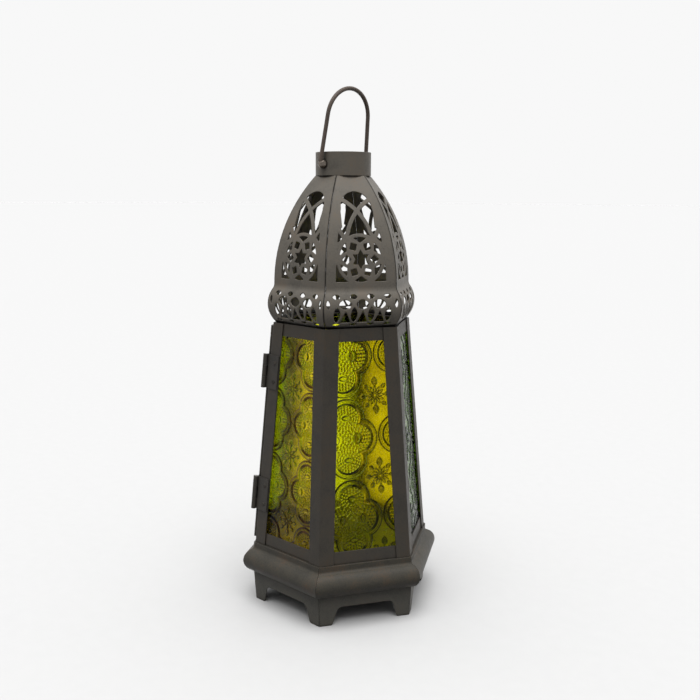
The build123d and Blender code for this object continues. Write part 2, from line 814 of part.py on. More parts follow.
def main():
    nodes = side_nodes() | hinge_nodes() | door_nodes()
    nodes["floor_plate"] = floor_plate()
    nodes["candle_cup"] = candle_cup()
    nodes["collar"] = collar()
    nodes["handle"] = handle()
    os.makedirs("parts", exist_ok=True)
    for name, part in nodes.items():
        export_step(part, f"parts/{name}.step")


main()
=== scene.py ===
import math

import bpy
import numpy as np
from mathutils import Matrix, Vector


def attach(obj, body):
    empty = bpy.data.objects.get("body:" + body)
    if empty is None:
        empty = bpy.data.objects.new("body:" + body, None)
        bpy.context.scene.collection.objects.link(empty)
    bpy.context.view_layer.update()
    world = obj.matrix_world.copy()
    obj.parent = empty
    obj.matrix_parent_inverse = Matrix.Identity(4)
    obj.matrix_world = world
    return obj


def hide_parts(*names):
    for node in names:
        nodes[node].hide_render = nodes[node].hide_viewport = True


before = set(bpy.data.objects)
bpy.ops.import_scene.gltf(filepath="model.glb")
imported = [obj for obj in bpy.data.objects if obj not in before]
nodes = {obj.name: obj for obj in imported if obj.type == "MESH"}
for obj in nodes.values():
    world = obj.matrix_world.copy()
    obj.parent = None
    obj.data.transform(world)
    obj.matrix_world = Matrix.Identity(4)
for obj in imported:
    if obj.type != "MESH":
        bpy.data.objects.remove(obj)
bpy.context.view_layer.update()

# A six-sided candle lantern of painted sheet steel and pressed glass, with a pierced dome.
# The scene is in metres, +Z up, with the floor at z = 0. Sizes below are in millimetres, unless
# they say otherwise, and MM turns them into metres.

MM = 0.001
SIDE_NAMES = ("front", "front_right", "back_right", "back", "back_left", "door_side")

scene = bpy.context.scene
scene.view_settings.view_transform = "Standard"


# Helpers for shader nodes

def srgb(red, green, blue):
    """A linear colour from sRGB values of 0 to 255, by that standard's curve."""
    channels = []
    for value in (red, green, blue):
        share = value / 255.0
        if share <= 0.04045:
            channels.append(share / 12.92)
        else:
            channels.append(((share + 0.055) / 1.055) ** 2.4)
    return (*channels, 1.0)


def grey(level):
    """A linear grey."""
    return (level, level, level, 1.0)


def new_material(name):
    """A material with one Principled shader; returns the material, its tree and the shader."""
    material = bpy.data.materials.new(name)
    material.use_nodes = True
    tree = material.node_tree
    tree.nodes.clear()
    output = tree.nodes.new("ShaderNodeOutputMaterial")
    shader = tree.nodes.new("ShaderNodeBsdfPrincipled")
    tree.links.new(shader.outputs["BSDF"], output.inputs["Surface"])
    return material, tree, shader


def add_node(tree, kind, inputs=None, **settings):
    """A node with settings; an input is a socket to link or a constant for its own socket."""
    node = tree.nodes.new(kind)
    for key, value in settings.items():
        setattr(node, key, value)
    for key, value in (inputs or {}).items():
        if isinstance(value, bpy.types.NodeSocket):
            tree.links.new(value, node.inputs[key])
        else:
            node.inputs[key].default_value = value
    return node


def add_ramp(tree, factor, places, colours):
    """A colour ramp with its colours at places of 0 to 1."""
    node = add_node(tree, "ShaderNodeValToRGB", {"Fac": factor})
    ramp = node.color_ramp
    while len(ramp.elements) < len(places):
        ramp.elements.new(1.0)
    for element, place, colour in zip(ramp.elements, places, colours):
        element.position = place
        element.color = colour
    return node.outputs["Color"]


def add_noise(tree, coords, scale, detail, roughness):
    """Noise in object space; the scale is in features per metre."""
    node = add_node(
        tree,
        "ShaderNodeTexNoise",
        {"Vector": coords, "Scale": scale, "Detail": detail, "Roughness": roughness},
    )
    return node.outputs["Fac"]


def add_range(tree, value, source, target):
    """A value moved from the source range to the target range, and kept within it."""
    node = add_node(
        tree,
        "ShaderNodeMapRange",
        {
            "Value": value,
            "From Min": source[0],
            "From Max": source[1],
            "To Min": target[0],
            "To Max": target[1],
        },
    )
    return node.outputs["Result"]


def add_mix(tree, share, first, second, data_type="RGBA"):
    """A colour or number between two, with a share of the second."""
    node = add_node(
        tree, "ShaderNodeMix", {"Factor": share, "A": first, "B": second}, data_type=data_type
    )
    return node.outputs["Result"]


def add_math(tree, operation, first, second):
    """The result of an operation on two numbers."""
    node = add_node(tree, "ShaderNodeMath", {0: first, 1: second}, operation=operation)
    return node.outputs["Value"]


def add_bump(tree, height, strength, distance, normal=None):
    """A normal bent by a height map; the distance is in millimetres."""
    inputs = {"Strength": strength, "Distance": distance * MM, "Height": height}
    if normal is not None:
        inputs["Normal"] = normal
    return add_node(tree, "ShaderNodeBump", inputs).outputs["Normal"]


def add_attribute(tree, name):
    """The number that a mesh holds at each of its points under a name."""
    return add_node(tree, "ShaderNodeAttribute", attribute_name=name).outputs["Fac"]


def object_coords(tree):
    """Object-space coordinates, in metres."""
    return add_node(tree, "ShaderNodeTexCoord").outputs["Object"]


def link_surface(tree, shader, colour, normal, roughness):
    """Links the inputs of a shader that vary over the surface."""
    tree.links.new(colour, shader.inputs["Base Color"])
    tree.links.new(normal, shader.inputs["Normal"])
    tree.links.new(roughness, shader.inputs["Roughness"])


# Painted steel

# The near-black of painted shade, in gaps, creases, the petals' seams and under the dome's rim
SHADE_COLOUR = srgb(18, 17, 15)
SPECK_SHARE = 0.42
TONE_PLACES = (0.36, 0.51, 0.66)
GAP_REACH = 3.0
GAP_SAMPLES = 8
GAP_OPENNESS = (0.34, 0.80)
GAP_SHADE = (0.95, 0.0)
EDGE_RADIUS = 0.45
EDGE_SAMPLES = 4
EDGE_COSINE = (0.97, 0.80)
EDGE_WEAR = (0.0, 0.55)
GRIT_RANGE = (0.25, 0.75)
GRAIN_STRENGTH = 0.10
GRAIN_HEIGHT = 0.12
PAINT_ROUGHNESS = (0.36, 0.52)
PAINT_SPECULAR = 0.18


def paint(name, dark, middle, brown, worn):
    """Satin paint over steel: mottled, brownish in places, grained, and worn pale along its edges.

    It is darkened with painted shade in narrow gaps and creases, and where the mesh holds painted shade
    in an attribute.
    """
    material, tree, shader = new_material(name)
    coords = object_coords(tree)
    mottle = add_noise(tree, coords, scale=55.0, detail=5.0, roughness=0.6)
    speck = add_noise(tree, coords, scale=900.0, detail=2.0, roughness=0.7)
    blotch = add_mix(tree, SPECK_SHARE, mottle, speck, "FLOAT")
    tone = add_ramp(tree, blotch, TONE_PLACES, (dark, middle, brown))
    # Painted shade: ambient occlusion darkens the paint in narrow gaps and creases, where shade falls.
    openness = add_node(
        tree, "ShaderNodeAmbientOcclusion", {"Distance": GAP_REACH * MM}, samples=GAP_SAMPLES
    ).outputs["AO"]
    gap_shade = add_range(tree, openness, GAP_OPENNESS, GAP_SHADE)
    shade_mask = add_math(tree, "MAXIMUM", add_attribute(tree, "painted_shade"), gap_shade)
    tone = add_mix(tree, shade_mask, tone, SHADE_COLOUR)
    soft = add_node(
        tree, "ShaderNodeBevel", {"Radius": EDGE_RADIUS * MM}, samples=EDGE_SAMPLES
    ).outputs["Normal"]
    true_normal = add_node(tree, "ShaderNodeNewGeometry").outputs["Normal"]
    turn = add_node(
        tree, "ShaderNodeVectorMath", {0: soft, 1: true_normal}, operation="DOT_PRODUCT"
    ).outputs["Value"]
    edge = add_range(tree, turn, EDGE_COSINE, EDGE_WEAR)
    grit = add_noise(tree, coords, scale=420.0, detail=3.0, roughness=0.6)
    wear = add_math(tree, "MULTIPLY", edge, grit)
    colour = add_mix(tree, wear, tone, worn)
    grain = add_noise(tree, coords, scale=2600.0, detail=2.0, roughness=0.55)
    bump = add_bump(tree, grain, GRAIN_STRENGTH, GRAIN_HEIGHT, soft)
    gloss = add_range(tree, grit, GRIT_RANGE, PAINT_ROUGHNESS)
    link_surface(tree, shader, colour, bump, gloss)
    shader.inputs["Specular IOR Level"].default_value = PAINT_SPECULAR
    return material


# Pressed glass

TINT_PLACES = (0.32, 0.68)
RIPPLE_STRENGTH = 0.10
RIPPLE_HEIGHT = 0.25
RIPPLE_RANGE = (0.3, 0.7)
GLASS_ROUGHNESS = (0.20, 0.30)
GLASS_IOR = 1.45


def glass(name, thin, deep, refraction_shade, gleam=0.1):
    """Pressed glass, tinted through, uneven in tint and gloss, and darkened along its relief's outlines
    by painted shade for the dark lines of refraction.

    thin, deep and the outlines' painted shade are linear colours, and gleam is how strongly its surface
    mirrors.
    """
    material, tree, shader = new_material(name)
    coords = object_coords(tree)
    cloud = add_noise(tree, coords, scale=38.0, detail=4.0, roughness=0.55)
    tint = add_ramp(tree, cloud, TINT_PLACES, ((*deep, 1.0), (*thin, 1.0)))
    colour = add_mix(tree, add_attribute(tree, "refraction_shade"), tint, (*refraction_shade, 1.0))
    ripple = add_noise(tree, coords, scale=160.0, detail=2.0, roughness=0.5)
    bump = add_bump(tree, ripple, RIPPLE_STRENGTH, RIPPLE_HEIGHT)
    gloss = add_range(tree, ripple, RIPPLE_RANGE, GLASS_ROUGHNESS)
    link_surface(tree, shader, colour, bump, gloss)
    shader.inputs["Transmission Weight"].default_value = 1.0
    shader.inputs["IOR"].default_value = GLASS_IOR
    shader.inputs["Specular Tint"].default_value = grey(gleam)
    return material


# Bare and oiled steel

SPOT_PLACES = (0.30, 0.70)
SPOT_RANGE = (0.3, 0.7)
SCRATCH_STRENGTH = 0.15
SCRATCH_HEIGHT = 0.1
ROUGHNESS_SPREAD = 0.08
METAL_SHARE = 0.85


def bare_metal(name, dark, bright, roughness):
    """Bare or oiled steel with fine scratches and spots."""
    material, tree, shader = new_material(name)
    coords = object_coords(tree)
    spots = add_noise(tree, coords, scale=240.0, detail=4.0, roughness=0.6)
    tone = add_ramp(tree, spots, SPOT_PLACES, (dark, bright))
    scratch = add_noise(tree, coords, scale=1900.0, detail=2.0, roughness=0.6)
    bump = add_bump(tree, scratch, SCRATCH_STRENGTH, SCRATCH_HEIGHT)
    spread = (roughness - ROUGHNESS_SPREAD, roughness + ROUGHNESS_SPREAD)
    gloss = add_range(tree, spots, SPOT_RANGE, spread)
    link_surface(tree, shader, tone, bump, gloss)
    shader.inputs["Metallic"].default_value = METAL_SHARE
    return material


# The lantern's finishes

dome_paint = paint(
    "dome_paint", srgb(98, 94, 87), srgb(112, 107, 99), srgb(117, 106, 93), srgb(166, 159, 148)
)
# The frame, hinge, base and skirt paints are darker copies of the dome's paint: painted shade for the
# shade that the dome casts on the body.
shaded_frame_paint = paint(
    "shaded_frame_paint", srgb(58, 55, 51), srgb(67, 63, 57), srgb(73, 64, 54), srgb(120, 113, 104)
)
shaded_base_paint = paint(
    "shaded_base_paint", srgb(58, 56, 51), srgb(69, 66, 59), srgb(84, 70, 57), srgb(126, 120, 109)
)
shaded_skirt_paint = paint(
    "shaded_skirt_paint", srgb(80, 79, 74), srgb(94, 92, 86), srgb(98, 92, 83), srgb(138, 133, 124)
)
wire_paint = paint(
    "wire_paint", srgb(88, 79, 73), srgb(102, 92, 85), srgb(108, 94, 83), srgb(176, 166, 154)
)
shaded_hinge_paint = paint(
    "shaded_hinge_paint", srgb(58, 56, 53), srgb(67, 64, 60), srgb(72, 66, 58), srgb(118, 112, 104)
)
plate_paint = paint(
    "plate_paint", srgb(150, 147, 140), srgb(172, 169, 161), srgb(178, 170, 157), srgb(205, 201, 194)
)
rivet_metal = bare_metal("rivet_metal", srgb(38, 36, 34), srgb(66, 62, 57), roughness=0.42)
knob_metal = bare_metal("knob_metal", srgb(74, 68, 61), srgb(122, 113, 104), roughness=0.24)
clip_metal = bare_metal("clip_metal", srgb(118, 114, 106), srgb(158, 154, 146), roughness=0.38)
# Each glass's third colour is the painted shade of its relief's outlines.
amber_glass = glass("amber_glass", (1.0, 0.80, 0.04), (1.0, 0.72, 0.03), (0.030, 0.006, 0.001))
yellow_glass = glass("yellow_glass", (0.88, 0.90, 0.05), (0.78, 0.82, 0.04), (0.012, 0.015, 0.001))
lime_glass = glass("lime_glass", (0.98, 0.96, 0.04), (0.88, 0.90, 0.03), (0.12, 0.16, 0.01))
door_green = glass("door_green", (0.50, 0.92, 0.05), (0.40, 0.82, 0.04), (0.08, 0.14, 0.01))
green_glass = glass(
    "green_glass", (0.16, 0.34, 0.04), (0.11, 0.25, 0.03), (0.01, 0.025, 0.003), gleam=0.5
)
honey_glass = glass("honey_glass", (0.84, 0.66, 0.04), (0.72, 0.54, 0.03), (0.14, 0.09, 0.01))


# Helpers for meshes

def step_down(distance, half_width, softness):
    """1 within half_width of zero distance, falling smoothly to 0 over softness."""
    share = np.clip((np.abs(distance) - half_width) / softness, 0.0, 1.0)
    return 1.0 - share * share * (3.0 - 2.0 * share)


def fold(value, repeat):
    """Distance from the nearest multiple of repeat."""
    return np.abs((value + repeat / 2) % repeat - repeat / 2)


def add_piece(name, points, faces, smooth_faces, material, body):
    """A mesh piece in metres that rides on a body; its first smooth_faces faces shade smoothly."""
    mesh = bpy.data.meshes.new(name)
    mesh.from_pydata(points.tolist(), [], faces)
    mesh.polygons.foreach_set("use_smooth", np.arange(len(faces)) < smooth_faces)
    mesh.materials.append(material)
    mesh.update()
    piece = bpy.data.objects.new(name, mesh)
    scene.collection.objects.link(piece)
    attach(piece, body)
    return piece


def store_values(piece, name, values):
    """Keeps a number for each point of a piece, for its material."""
    attribute = piece.data.attributes.new(name, "FLOAT", "POINT")
    attribute.data.foreach_set("value", values)


# The pressed pattern. The sizes of the first group scale with it, and those of the second don't.
# A row of beads is its inset from the lobe's edge and its count.

HALF_REPEAT_U = 22.5
HALF_REPEAT_V = 29.0
SIDE_LOBE_RADIUS = 14.2
TOP_LOBE_RADIUS = 13.2
RIBBON_WIDTH = 3.4
BEAD_ROWS = ((5.5, 22), (7.3, 16), (9.1, 11))
ALMOND_HALF_WIDTH = 1.5
ALMOND_HALF_LENGTH = 3.2
HEART_RADIUS = 1.3
PETAL_START = 1.9
PETAL_END = 6.9
PETAL_HALF_WIDTHS_SUM = 8.8
LEAF_COUNT = 8
LEAF_START = 6.8
LEAF_END = 11.0
LEAF_HALF_WIDTH = 1.3
TALL_LEAF_COUNT = 2
TALL_LEAF_END = 13.2
TALL_LEAF_HALF_WIDTH = 2.0

LEAF_FULLNESS = 0.8
LOBE_CLEARANCE = 0.75
RIBBON_EDGE = 0.3
RIBBON_SLOPE = 0.5
OUTLINE_HALF = 0.42
OUTLINE_EASE = 0.35
SCORE_PLACE = 0.4
SCORE_HALF = 0.14
SCORE_SHADE = 0.85
CRESCENT_HALF = 0.25
CRESCENT_SWELL = 0.5
CRESCENT_EASE = 0.4
OUTWARD_SHIFT = 0.35
BEAD_HALF = 0.45
SHAPE_SLOPE = 0.5
SHAPE_LINE_HALF = 0.22
SHAPE_LINE_EASE = 0.38
HEART_SHADE = 0.3

# An almond's measure is 1 on its edge
ALMOND_TOP = 0.8
ALMOND_SLOPE = 0.4
ALMOND_LINE = 1.05
ALMOND_LINE_HALF = 0.15
ALMOND_LINE_EASE = 0.3
ALMOND_CLEAR = 1.6


def leaf(radius, angle, count, start, end, half_width):
    """How far a point lies inside one of count pointed leaves along the radius, in millimetres."""
    turn = fold(angle, 2 * math.pi / count)
    along = np.clip((radius - start) / (end - start), 0.0, 1.0)
    width = half_width * np.sin(math.pi * along) ** LEAF_FULLNESS
    beyond = np.maximum(np.maximum(start - radius, radius - end), 0.0)
    return width - radius * np.sin(turn) - beyond


def ribbon_relief(x, y, size, bold):
    """Height and outlines of the four-lobed ribbons, with beads and an almond in each lobe.

    x and y are the distances from the nearest daisy's centre lines.
    """
    half_u = HALF_REPEAT_U * size
    half_v = HALF_REPEAT_V * size
    side_radius = SIDE_LOBE_RADIUS * size
    top_radius = TOP_LOBE_RADIUS * size
    ribbon = RIBBON_WIDTH * size
    ring_x = half_u - x
    ring_y = half_v - y
    side_x = ring_x - (half_u - side_radius - LOBE_CLEARANCE)
    top_y = ring_y - (half_v - top_radius - LOBE_CLEARANCE)
    side = np.hypot(side_x, ring_y) - side_radius
    top = np.hypot(ring_x, top_y) - top_radius
    outside = np.minimum(side, top)
    lobe_x = np.where(side < top, side_x, top_y)
    lobe_y = np.where(side < top, ring_y, ring_x)
    lobe_angle = np.arctan2(lobe_y, lobe_x)
    # outward is 1 on a lobe's far side and 0 on its side towards the ribbon's middle
    outward = np.clip(OUTWARD_SHIFT + np.cos(lobe_angle), 0.0, 1.0)

    height = step_down(outside + ribbon / 2, ribbon / 2 - RIBBON_EDGE, RIBBON_SLOPE)
    lines = step_down(outside, OUTLINE_HALF + bold, OUTLINE_EASE)
    score = step_down(outside + SCORE_PLACE * ribbon, SCORE_HALF, OUTLINE_EASE)
    lines = np.maximum(lines, SCORE_SHADE * score)
    crescent_half = CRESCENT_HALF + bold + CRESCENT_SWELL * outward
    crescent = step_down(outside + ribbon, crescent_half, CRESCENT_EASE)
    lines = np.maximum(lines, outward * crescent)

    for inset, count in BEAD_ROWS:
        beads = 0.5 + 0.5 * np.cos(count * lobe_angle)
        row = step_down(outside + inset * size, BEAD_HALF, BEAD_HALF)
        height = np.maximum(height, beads * row)
        lines = np.maximum(lines, (0.5 + 0.5 * outward) * (1.0 - beads) * row)

    across = np.abs(lobe_x) / (ALMOND_HALF_WIDTH * size)
    along = lobe_y / (ALMOND_HALF_LENGTH * size)
    almond = across + along**2
    height = np.maximum(height, step_down(almond, ALMOND_TOP, ALMOND_SLOPE))
    almond_line = step_down(almond - ALMOND_LINE, ALMOND_LINE_HALF, ALMOND_LINE_EASE)
    lines = np.where(almond < ALMOND_CLEAR, almond_line, lines)
    return height, lines


def daisy_relief(x, y, size, petal_count, leaf_shade):
    """Height and outlines of a daisy: petals round a heart, leaves round them, two leaves tall."""
    radius = np.hypot(x, y)
    angle = np.arctan2(y, x)
    petal_half_width = PETAL_HALF_WIDTHS_SUM / petal_count * size
    leaf_start = LEAF_START * size
    heart = HEART_RADIUS * size - radius
    petals = leaf(radius, angle, petal_count, PETAL_START * size, PETAL_END * size, petal_half_width)
    leaves = leaf(radius, angle, LEAF_COUNT, leaf_start, LEAF_END * size, LEAF_HALF_WIDTH * size)
    tall = leaf(
        radius,
        angle + math.pi / 2,
        TALL_LEAF_COUNT,
        leaf_start,
        TALL_LEAF_END * size,
        TALL_LEAF_HALF_WIDTH * size,
    )
    height = np.zeros_like(radius)
    lines = np.zeros_like(radius)
    for shape, fill in ((petals, 0.0), (leaves, leaf_shade), (tall, leaf_shade), (heart, HEART_SHADE)):
        inside = np.clip(0.5 + shape / SHAPE_SLOPE, 0.0, 1.0)
        outline = step_down(shape, SHAPE_LINE_HALF, SHAPE_LINE_EASE)
        height = np.maximum(height, inside)
        lines = np.maximum(lines, np.maximum(fill * inside, outline))
    return height, lines


def relief(u, v, size, bold, petal_count, leaf_shade):
    """The pressed pattern's height and the strength of its dark outlines, both 0 to 1; the outlines are
    painted shade for the dark lines of refraction at the relief's edges.

    Four-lobed ribbons stand tip to tip and enclose daisies of petal_count petals, and each lobe holds an
    almond within rows of beads. u and v are millimetres from a daisy's centre, and size scales all. bold
    widens the ribbons' outlines, in millimetres, and leaf_shade fills the daisies' leaves with the same
    painted shade.
    """
    x = fold(u, 2 * HALF_REPEAT_U * size)
    y = fold(v, 2 * HALF_REPEAT_V * size)
    ribbon_height, ribbon_lines = ribbon_relief(x, y, size, bold)
    daisy_height, daisy_lines = daisy_relief(x, y, size, petal_count, leaf_shade)
    return np.maximum(ribbon_height, daisy_height), np.maximum(ribbon_lines, daisy_lines)


# Pressed-glass panes

PANE_GRID = 0.42
RELIEF_DEPTH = 0.6
BORDER_WIDTH = 3.7
BORDER_SLOPE = 0.4
LINES_START = 3.0
LINES_EASE = 1.5
SAME_LEVEL = 0.02
FULL_SIZE = 1.0
SMALL_SIZE = 0.84


def slab_frame(node_name):
    """A pane's front and back corners, and its rightward, upward and outward directions.

    Corners go from the lower left round to the upper left.
    """
    mesh = nodes[node_name].data
    points = np.array([vertex.co for vertex in mesh.vertices])
    widest = max(mesh.polygons, key=lambda face: face.area)
    normal = np.array(widest.normal)
    if normal[:2] @ points.mean(axis=0)[:2] < 0:
        normal = -normal
    right = np.cross([0.0, 0.0, 1.0], normal)
    right /= np.linalg.norm(right)
    upward = np.cross(normal, right)
    depth = points @ normal
    rise = points @ upward
    across = points @ right
    faces = []
    for level in (depth.max(), depth.min()):
        on_level = np.abs(depth - level) < SAME_LEVEL * MM
        corners = []
        for end, order in ((rise[on_level].min(), (1, -1)), (rise[on_level].max(), (-1, 1))):
            edge = np.flatnonzero(on_level & (np.abs(rise - end) < SAME_LEVEL * MM))
            corners += [points[edge[np.argmin(sign * across[edge])]] for sign in order]
        faces.append(np.array(corners))
    return faces[0], faces[1], right, upward, normal


def patch(corners, columns, rows):
    """A grid of points between four corners."""
    s, t = np.meshgrid(np.linspace(0, 1, columns), np.linspace(0, 1, rows))
    weights = np.stack([(1 - s) * (1 - t), s * (1 - t), s * t, (1 - s) * t], axis=-1)
    return weights @ corners


def slab_faces(rows, columns):
    """Faces of a slab with a grid in front and one flat face behind, and the grid's rim."""
    count = rows * columns
    index = np.arange(count).reshape(rows, columns)
    quads = np.stack(
        [index[:-1, :-1], index[:-1, 1:], index[1:, 1:], index[1:, :-1]], axis=-1
    ).reshape(-1, 4)
    rim = np.concatenate([index[0, :-1], index[:-1, -1], index[-1, :0:-1], index[:0:-1, 0]])
    behind = np.arange(count, count + len(rim))
    wall = np.stack([rim, behind, np.roll(behind, -1), np.roll(rim, -1)], axis=-1)
    return quads.tolist() + wall.tolist() + [behind[::-1].tolist()], len(quads), rim


def edge_distance(count, length):
    """Distance to the nearer end, for count even steps over a length."""
    along = np.linspace(0.0, length, count)
    return np.minimum(along, length - along)


def pressed_pane(
    node_name, body, material, size, daisy, lean, bold=0.0, petal_count=12, leaf_shade=0.8
):
    """A pane with the pressed pattern on its outer face, in the place of a plain one.

    daisy is the millimetre place of one daisy from the middle of the pane's lower edge, and
    lean turns the pattern, in degrees. size, bold, petal_count and leaf_shade go to relief.
    """
    front, back, right, upward, normal = slab_frame(node_name)
    width = np.linalg.norm(front[1] - front[0]) / MM
    height = np.linalg.norm((front[3] + front[2] - front[1] - front[0]) / 2) / MM
    columns = int(width / PANE_GRID)
    rows = int(height / PANE_GRID)
    outer = patch(front, columns, rows)
    inset = np.minimum.outer(edge_distance(rows, height), edge_distance(columns, width))
    origin = (front[0] + front[1]) / 2
    right_of = (outer - origin) @ right / MM - daisy[0]
    above = (outer - origin) @ upward / MM - daisy[1]
    turn = math.radians(lean)
    u = right_of * math.cos(turn) + above * math.sin(turn)
    v = above * math.cos(turn) - right_of * math.sin(turn)
    raised, lines = relief(u, v, size, bold, petal_count, leaf_shade)
    raised = np.maximum(raised, step_down(inset, BORDER_WIDTH, BORDER_SLOPE))
    sink = (1.0 - raised) * RELIEF_DEPTH * MM
    lines = lines * np.clip((inset - LINES_START) / LINES_EASE, 0.0, 1.0)
    faces, smooth, rim = slab_faces(rows, columns)
    flat_back = patch(back, columns, rows).reshape(-1, 3)[rim]
    points = np.concatenate([(outer - sink[..., None] * normal).reshape(-1, 3), flat_back])
    pane = add_piece(f"pressed_{node_name}", points, faces, smooth, material, body)
    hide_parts(node_name)
    # The outlines go to the glass as painted shade, for the dark lines of refraction at the relief's
    # edges.
    store_values(pane, "refraction_shade", np.concatenate([lines.ravel(), np.zeros(len(rim))]))


pressed_pane(
    "glass_pane_front",
    "lantern",
    amber_glass,
    size=SMALL_SIZE,
    daisy=(-3.5, 69.0),
    lean=0.8,
    bold=0.15,
    petal_count=8,
    leaf_shade=0.0,
)
pressed_pane(
    "glass_pane_front_right",
    "lantern",
    yellow_glass,
    size=FULL_SIZE,
    daisy=(12.9, 57.9),
    lean=3.0,
)
pressed_pane(
    "glass_pane_back_right",
    "lantern",
    green_glass,
    size=FULL_SIZE,
    daisy=(-6.0, 73.0),
    lean=-1.5,
)
pressed_pane(
    "glass_pane_back",
    "lantern",
    honey_glass,
    size=FULL_SIZE,
    daisy=(4.0, 63.0),
    lean=0.0,
)
pressed_pane(
    "glass_pane_back_left",
    "lantern",
    lime_glass,
    size=SMALL_SIZE,
    daisy=(7.0, 72.0),
    lean=1.0,
)
pressed_pane(
    "door_glass",
    "door",
    door_green,
    size=SMALL_SIZE,
    daisy=(-4.0, 64.0),
    lean=0.0,
)


# The dome's petals: their bent sheet. SEAM and SEAM_BEHIND draw its sides in from the dome's corners,
# on its outer and inner face, and an apothem is a face's distance from the lantern's axis.

SHEET = 0.8
SEAM = 0.6
SEAM_BEHIND = 0.04
BODY_TOP = 211.4
WAIST = 240.0
COLLAR_BOTTOM = 316.3
TAB_TOP = 321.9
WAIST_APOTHEM = 44.8
TAB_APOTHEM = 18.0885
TAB_HALF = 6.0
TAB_ROOM = 0.15
NECK_RADIUS = 7.0
RIM_RADIUS = 20.0
FLARE = math.radians(33.0)
SIDE_TURN = 60.0
HALF_SIDE = math.tan(math.radians(SIDE_TURN / 2))
ARC_FALL = WAIST_APOTHEM - TAB_APOTHEM
ARC_RADIUS = ((COLLAR_BOTTOM - WAIST) ** 2 + ARC_FALL**2) / (2 * ARC_FALL)
NECK_LOW = WAIST - NECK_RADIUS * math.sin(FLARE)
RIM_CENTRE = WAIST_APOTHEM + NECK_RADIUS - (NECK_RADIUS + RIM_RADIUS) * math.cos(FLARE)
RIM_LEVEL = WAIST - (NECK_RADIUS + RIM_RADIUS) * math.sin(FLARE)

# The window and its bars: levels count from the waist, and bars are given on the right half
WINDOW_MARGIN = 7.5
WINDOW_SILL = 3.8
WINDOW_SHOULDER = 40.5
SHOULDER_ROOM = 0.6
ARCH_SPRING = 54.0
ARCH_RADIUS = 11.2
WINDOW_ROUNDING = 0.9
BAR_HALF = 1.4
CROSSED_BAR = ((-10.6, 60.0), (0.0, 51.8), (8.3, 37.0))
SIDE_BAR = ((8.3, 37.0), (11.6, 32.3), (17.2, 28.0))
STRAIGHT_BAR = ((9.0, 30.0), (15.6, 41.5))

# The rosette: distances count from its middle
ROSETTE_LEVEL = 19.0
ROSETTE_RADIUS = 17.6
STAR_EDGE = 3.4
KITE_MIDDLE = 10.0
KITE_EDGE = 2.35
RAY_POINT = 11.2
RAY_END = 15.3
RAY_SLOPE = (0.8, 0.55)
RAY_ROUNDING = 0.5

# The rim: levels count from the body's top, an opening is its middle level, width and length
ROW_HALF = 24.77
ROW_PITCH = ROW_HALF / 2
EYE = (22.4, 3.2, 5.6)
OVAL = (10.0, 4.9, 11.4)
SLOT = (3.0, 1.9, 6.0)
LEAF_HOLE = (17.2, 6.6, 9.4)
END_HOLE = (17.3, 2.6, 6.6)
POINT_ROUNDING = 0.6
ARROW_FOOT = 4.3
ARROW_TIP = 13.0
ARROW_SLOPE = (0.42, 0.9)
ARROW_ROUNDING = 0.8

# The petal's grid, and the painted shade along its seams and its foot
PETAL_COLUMNS = 97
PETAL_ROWS = 197
LEAST_CUT = 0.01
SEAM_SHADE = 0.6
SEAM_SHADE_HALF = 0.05
SEAM_SHADE_EASE = 0.6
FOOT_SHADE_HALF = 1.3
FOOT_SHADE_EASE = 1.5


def petal_profile(z):
    """A petal's apothem at a height, and the outward and upward parts of its normal."""
    rim_up = z - RIM_LEVEL
    rim_out = np.sqrt(np.clip(RIM_RADIUS**2 - rim_up**2, 0, None))
    neck_up = np.clip(WAIST - z, 0, NECK_RADIUS)
    neck_out = np.sqrt(NECK_RADIUS**2 - neck_up**2)
    arc_up = np.clip(z, WAIST, COLLAR_BOTTOM) - WAIST
    arc_out = np.sqrt(ARC_RADIUS**2 - arc_up**2)
    stretch = [z < NECK_LOW, z < WAIST, z <= COLLAR_BOTTOM]
    apothems = [
        RIM_CENTRE + rim_out,
        WAIST_APOTHEM + NECK_RADIUS - neck_out,
        WAIST_APOTHEM - ARC_RADIUS + arc_out,
    ]
    apothem = np.select(stretch, apothems, TAB_APOTHEM)
    out = np.select(stretch, [rim_out / RIM_RADIUS, neck_out / NECK_RADIUS, arc_out / ARC_RADIUS], 1.0)
    up = np.select(stretch, [rim_up / RIM_RADIUS, neck_up / NECK_RADIUS, arc_up / ARC_RADIUS], 0.0)
    return apothem, out, up


# The dome's petals: their openings

def blunt(first, second, radius):
    """The lesser of two distances, with the corner between them rounded."""
    near = np.clip(radius - np.abs(first - second), 0.0, None) / radius
    return np.minimum(first, second) - near * near * radius / 4


def pointed_oval(x, z, width, height):
    """Distance into an opening of two arcs that meet in points above and below."""
    radius = (width**2 + height**2) / (4 * width)
    shift = radius - width / 2
    return blunt(radius - np.hypot(x + shift, z), radius - np.hypot(x - shift, z), POINT_ROUNDING)


def upright_oval(across, level, opening):
    """Distance into a pointed opening that stands upright on the rim."""
    middle, width, length = opening
    return pointed_oval(across, level - middle, width, length)


def lying_oval(across, level, opening):
    """Distance into a pointed opening that lies along the rim."""
    middle, width, length = opening
    return pointed_oval(level - middle, across, width, length)


def straight_bar(x, z, ends, half_width):
    """Distance into a straight bar between two points."""
    (x0, z0), (x1, z1) = ends
    length = math.hypot(x1 - x0, z1 - z0)
    along = np.clip(((x - x0) * (x1 - x0) + (z - z0) * (z1 - z0)) / length**2, 0.0, 1.0)
    return half_width - np.hypot(x - x0 - along * (x1 - x0), z - z0 - along * (z1 - z0))


